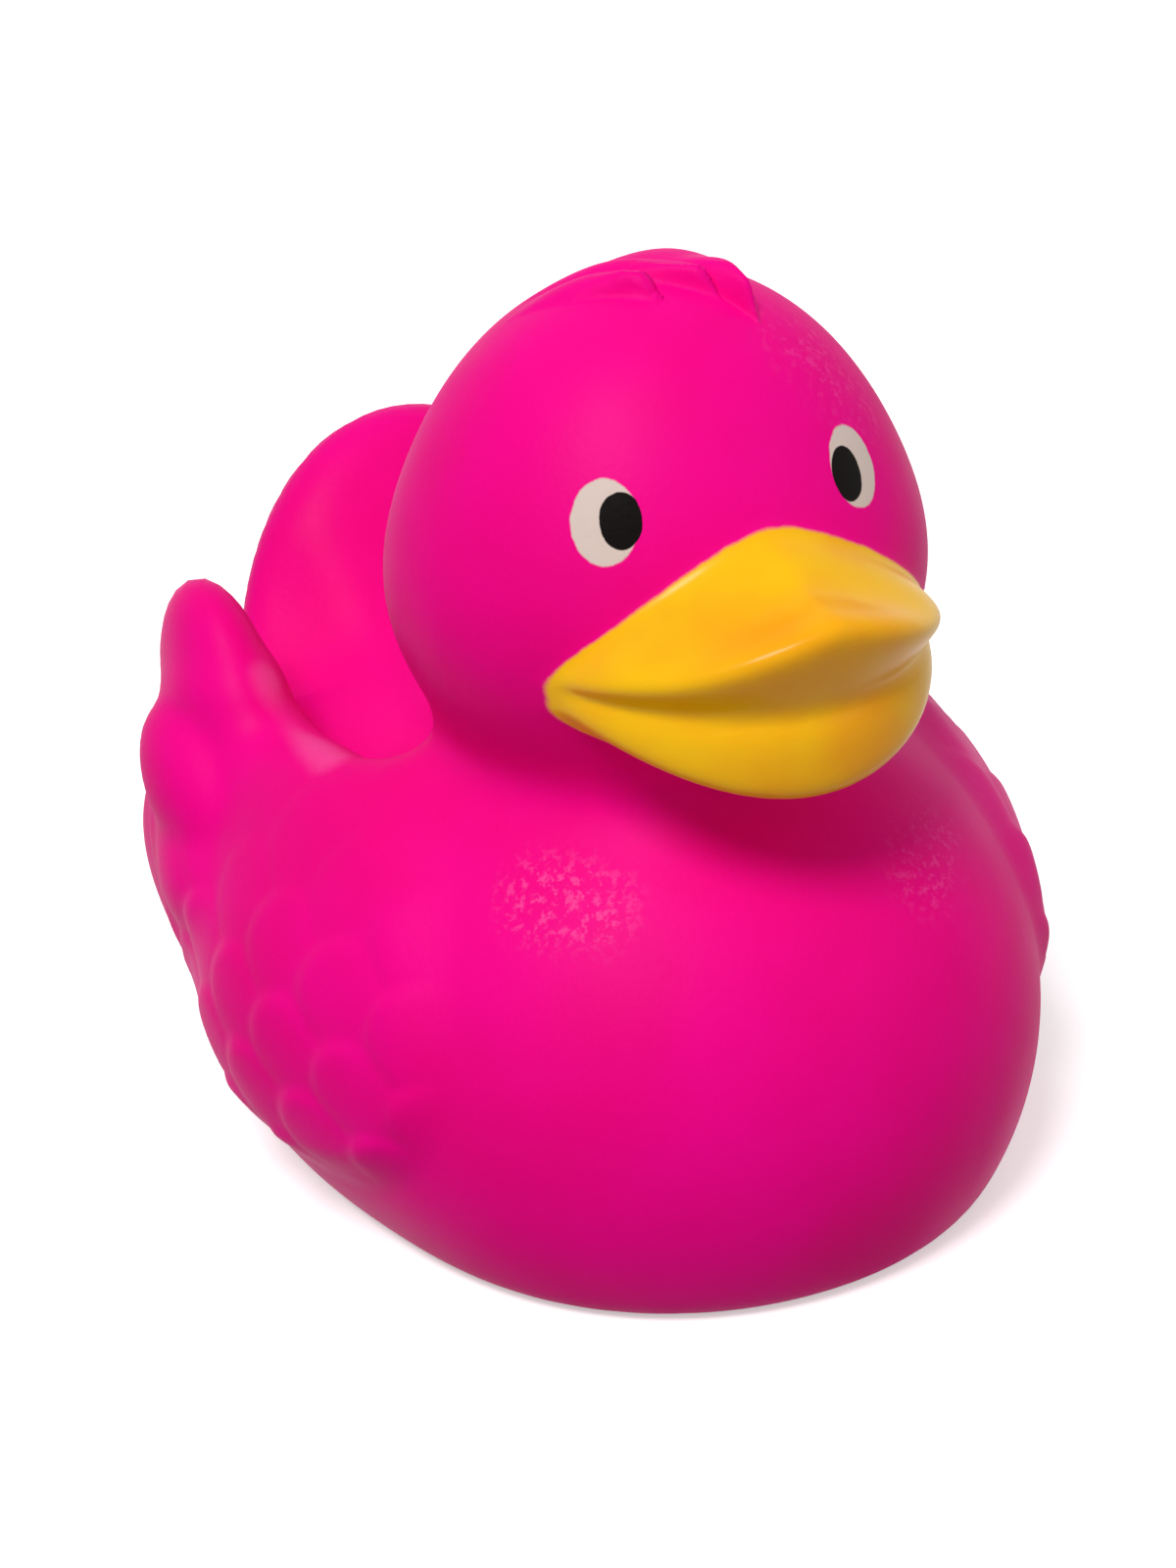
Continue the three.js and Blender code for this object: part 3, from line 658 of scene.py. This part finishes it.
def rubAndHighlightGroup():
    # a pale mark along a line from start to end, used for rubbed places and for a painted highlight: 1 where
    # the skin is drawn pale, in specks or smoothly
    places = [("Position", "Vector"), ("Start", "Vector"), ("End", "Vector")]
    ins = places + [("Radius", "Float"), ("Amount", "Float"), ("Specks", "Float")]
    tree, given, put = newGroup("rubbedAndHighlitPatch", ins, [("Mask", "Float")])
    fromStart = vectorMaths(tree, "SUBTRACT", i0=given["Position"], i1=given["Start"])[0]
    line = vectorMaths(tree, "SUBTRACT", i0=given["End"], i1=given["Start"])[0]
    along = vectorMaths(tree, "DOT_PRODUCT", i0=fromStart, i1=line)[1]
    whole = vectorMaths(tree, "DOT_PRODUCT", i0=line, i1=line)[1]
    share = maths(tree, "MINIMUM", maths(tree, "MAXIMUM", maths(tree, "DIVIDE", along, whole), 0.0), 1.0)
    reached = vectorMaths(tree, "SCALE", i0=line, Scale=share)[0]
    distance = vectorMaths(tree, "DISTANCE", i0=fromStart, i1=reached)[1]
    fade = mapped(tree, maths(tree, "DIVIDE", distance, given["Radius"]), *rubAndHighlightLook["fade"])
    specks = mapped(tree, noise(tree, given["Position"], *rubAndHighlightLook["noise"]), *rubAndHighlightLook["specks"])
    smooth = maths(tree, "SUBTRACT", 1.0, given["Specks"])
    pattern = maths(tree, "MULTIPLY_ADD", specks, given["Specks"], smooth)
    shown = maths(tree, "MULTIPLY", fade, pattern)
    tree.links.new(maths(tree, "MULTIPLY", shown, given["Amount"]), put["Mask"])
    return tree


def newMaterial(name):
    material = bpy.data.materials.new(name)
    material.use_nodes = True
    tree = material.node_tree
    shader = tree.nodes["Principled BSDF"]
    return material, tree, shader


moulded = mouldedGroup()
oval = ovalGroup()
rubbedAndHighlit = rubAndHighlightGroup()


def ovalDirections(centre, half, turn):
    # the oval's level and rising directions on the face, each divided by its half size
    middle = np.array([0, head["y"], head["z"]])
    outward = (np.array(centre) - middle) / np.array([head["rx"], head["ry"], head["rz"]]) ** 2
    outward /= np.linalg.norm(outward)
    across = np.cross([0, 0, 1], outward)
    across /= np.linalg.norm(across)
    up = np.cross(outward, across)
    a = math.radians(turn)
    turnedAcross = math.cos(a) * across - math.sin(a) * up
    turnedUp = math.cos(a) * up + math.sin(a) * across
    return tuple(turnedAcross / half[0] / mm), tuple(turnedUp / half[1] / mm)


def placed(point):
    # a place on the form, in mm, as a place in the mesh, in metres
    return tuple(np.array([point[0], point[1] + shiftY, point[2]]) * mm)


def vinylMaterial():
    # pink with slow changes of tone, then the rubbed places and a painted highlight along a wing's ridge, the
    # bill's paint and the eyes over it
    material, tree, shader = newMaterial("paintedPinkVinyl")
    position = addNode(tree, "ShaderNodeTexCoord").outputs["Object"]
    surface = useGroup(tree, moulded, Position=position, Grain=vinyl["grain"], Waves=vinyl["waves"])

    tone = mapped(tree, noise(tree, position, *vinyl["toneNoise"]), *vinyl["tone"])
    colour = mixed(tree, tone, vinyl["pink"], vinyl["pinkDeep"])
    # the rubbed places, and a painted highlight along a wing's ridge drawn the same way
    for paleMark in rubsAndHighlight:
        ends = {"Start": placed(paleMark["from"]), "End": placed(paleMark["to"])}
        look = {"Radius": paleMark["radius"] * mm, "Amount": paleMark["amount"], "Specks": paleMark["specks"]}
        patch = useGroup(tree, rubbedAndHighlit, Position=position, **ends, **look)
        colour = mixed(tree, patch["Mask"], colour, vinyl["rubbedAndHighlit"])

    distance = addNode(tree, "ShaderNodeAttribute", {"attribute_name": "billDistance"}).outputs["Fac"]
    unevenness = ragged(tree, position, billPaint["raggedNoise"], billPaint["ragged"])
    uneven = maths(tree, "ADD", distance, unevenness)
    edge, soft = billPaint["edge"], billPaint["edgeSoft"]
    onBill = mapped(tree, uneven, edge + soft, edge - soft)
    tone = mapped(tree, noise(tree, position, *billPaint["toneNoise"]), *billPaint["tone"])
    colour = mixed(tree, onBill, colour, mixed(tree, tone, billPaint["yellow"], billPaint["orange"]))

    for eye in eyePlaces:
        for layer in ("white", "pupil"):
            centre = eye[layer + "At"]
            across, up = ovalDirections(centre, eyes[layer + "Half"], eye["turn"])
            directions = {"Centre": placed(centre), "Across": across, "Up": up}
            drawn = useGroup(tree, oval, Position=position, Raggedness=eyes["ragged"], **directions)
            colour = mixed(tree, drawn["Mask"], colour, eyes[layer])
    tree.links.new(colour, shader.inputs["Base Color"])

    roughness = maths(tree, "MULTIPLY_ADD", surface["Gloss"], vinyl["glossChange"], vinyl["roughness"])
    roughness = maths(tree, "MULTIPLY_ADD", onBill, billPaint["roughness"] - vinyl["roughness"], roughness)
    tree.links.new(roughness, shader.inputs["Roughness"])
    tree.links.new(maths(tree, "MULTIPLY", onBill, billPaint["coat"]), shader.inputs["Coat Weight"])
    shader.inputs["Coat Roughness"].default_value = billPaint["coatRoughness"]
    relief = {"Strength": vinyl["bumpStrength"], "Distance": vinyl["bump"], "Height": surface["Height"]}
    bump = addNode(tree, "ShaderNodeBump", None, **relief)
    tree.links.new(bump.outputs[0], shader.inputs["Normal"])
    shader.inputs["Specular IOR Level"].default_value = vinyl["specular"]
    shader.inputs["Subsurface Weight"].default_value = vinyl["subsurface"]
    shader.inputs["Subsurface Radius"].default_value = vinyl["subsurfaceRadius"]
    shader.inputs["Subsurface Scale"].default_value = vinyl["subsurfaceScale"]
    return material


plastic = {
    "white": (0.80, 0.79, 0.75), "shade": (0.74, 0.72, 0.68), "toneNoise": (120.0, 3.0), "tone": (0.35, 0.65),
    "roughness": 0.5, "glossChange": 0.1, "grain": 0.6, "waves": 0.2, "bump": 0.00005, "bumpStrength": 0.6,
}


def squeakerMaterial():
    material, tree, shader = newMaterial("whitePlastic")
    position = addNode(tree, "ShaderNodeTexCoord").outputs["Object"]
    surface = useGroup(tree, moulded, Position=position, Grain=plastic["grain"], Waves=plastic["waves"])
    tone = mapped(tree, noise(tree, position, *plastic["toneNoise"]), *plastic["tone"])
    tree.links.new(mixed(tree, tone, plastic["white"], plastic["shade"]), shader.inputs["Base Color"])
    roughness = maths(tree, "MULTIPLY_ADD", surface["Gloss"], plastic["glossChange"], plastic["roughness"])
    tree.links.new(roughness, shader.inputs["Roughness"])
    relief = {"Strength": plastic["bumpStrength"], "Distance": plastic["bump"], "Height": surface["Height"]}
    bump = addNode(tree, "ShaderNodeBump", None, **relief)
    tree.links.new(bump.outputs[0], shader.inputs["Normal"])
    return material


duck.data.materials.append(vinylMaterial())
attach(duck, "root")
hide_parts("duck_body")

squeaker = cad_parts["squeaker"]
squeaker.data.materials.clear()
squeaker.data.materials.append(squeakerMaterial())
print("materials: vinyl, plastic")

# stage, light and camera

studio = {
    "floorHalf": 3.0, "white": 0.28, "floorRoughness": 0.9, "floorLift": 0.45, "liftFrom": 0.3, "liftTo": 1.2,
    "world": 0.40, "aimAt": (0, 0, 0.035), "keyAt": (-0.55, -0.5, 1.05), "keySize": 0.45, "keyPower": 10.0,
    "fillAt": (0.8, -0.9, 0.7), "fillSize": 0.9, "fillPower": 1.2,
}


def seenDirectly(tree):
    # 1 for rays from the camera, mirrors and glass, 0 for the light that reaches the duck
    path = addNode(tree, "ShaderNodeLightPath").outputs
    seen = maths(tree, "MAXIMUM", path["Is Camera Ray"], path["Is Glossy Ray"])
    return maths(tree, "MAXIMUM", seen, path["Is Transmission Ray"])


def addFloor():
    # a pale floor for the duck's light, shown white but for the duck's shadow
    half = studio["floorHalf"]
    mesh = bpy.data.meshes.new("floor")
    corners = [(-half, -half, 0), (half, -half, 0), (half, half, 0), (-half, half, 0)]
    mesh.from_pydata(corners, [], [(0, 1, 2, 3)])
    floor = bpy.data.objects.new("floor", mesh)
    bpy.context.collection.objects.link(floor)
    material, tree, shader = newMaterial("paleFloor")
    seen = seenDirectly(tree)
    colour = mixed(tree, seen, (studio["white"],) * 3, (1.0, 1.0, 1.0))
    tree.links.new(colour, shader.inputs["Base Color"])
    shader.inputs["Emission Color"].default_value = (1, 1, 1, 1)
    # the far floor is lifted to full white, so that its edge doesn't show from a low angle
    position = addNode(tree, "ShaderNodeTexCoord").outputs["Object"]
    away = vectorMaths(tree, "LENGTH", i0=position)[1]
    lift = mapped(tree, away, studio["liftFrom"], studio["liftTo"], studio["floorLift"], 1.0)
    tree.links.new(maths(tree, "MULTIPLY", seen, lift), shader.inputs["Emission Strength"])
    shader.inputs["Roughness"].default_value = studio["floorRoughness"]
    shader.inputs["Specular IOR Level"].default_value = 0.0
    mesh.materials.append(material)


def addWorld():
    # white where it is seen, and weaker as light on the duck
    world = bpy.data.worlds.new("studio")
    bpy.context.scene.world = world
    world.use_nodes = True
    tree = world.node_tree
    background = tree.nodes["Background"]
    background.inputs["Color"].default_value = (1, 1, 1, 1)
    seen = seenDirectly(tree)
    strength = maths(tree, "MULTIPLY_ADD", seen, 1 - studio["world"], studio["world"])
    tree.links.new(strength, background.inputs["Strength"])


def addLamp(name, place, size, power):
    # a round lamp turned to the middle of the duck
    lamp = bpy.data.lights.new(name, "AREA")
    lamp.shape = "DISK"
    lamp.size = size
    lamp.energy = power
    holder = bpy.data.objects.new(name, lamp)
    holder.location = place
    holder.rotation_euler = (Vector(studio["aimAt"]) - Vector(place)).to_track_quat("-Z", "Y").to_euler()
    bpy.context.collection.objects.link(holder)


# angles in degrees, place in mm
view = {
    "azimuth": -24.92, "elevation": 24.82, "roll": -2.79, "place": (-116.06, -248.04, 156.80),
    "lens": 78.18, "clipStart": 0.01,
}


def addCamera():
    # back points from the duck to the camera; right and up are turned by the roll
    a, e, r = (math.radians(view[key]) for key in ("azimuth", "elevation", "roll"))
    back = Vector((math.sin(a) * math.cos(e), -math.cos(a) * math.cos(e), math.sin(e)))
    level = Vector((math.cos(a), math.sin(a), 0))
    rise = back.cross(level)
    right = math.cos(r) * level + math.sin(r) * rise
    up = back.cross(right)
    lens = bpy.data.cameras.new("camera")
    lens.lens = view["lens"]
    lens.clip_start = view["clipStart"]
    camera = bpy.data.objects.new("camera", lens)
    camera.matrix_world = Matrix((right, up, back)).transposed().to_4x4()
    camera.location = Vector(view["place"]) * mm
    bpy.context.collection.objects.link(camera)
    bpy.context.scene.camera = camera


addFloor()
addWorld()
addLamp("key", studio["keyAt"], studio["keySize"], studio["keyPower"])
addLamp("fill", studio["fillAt"], studio["fillSize"], studio["fillPower"])
addCamera()
bpy.context.scene.view_settings.view_transform = "Standard"
print("stage: floor, world, two lamps, camera")
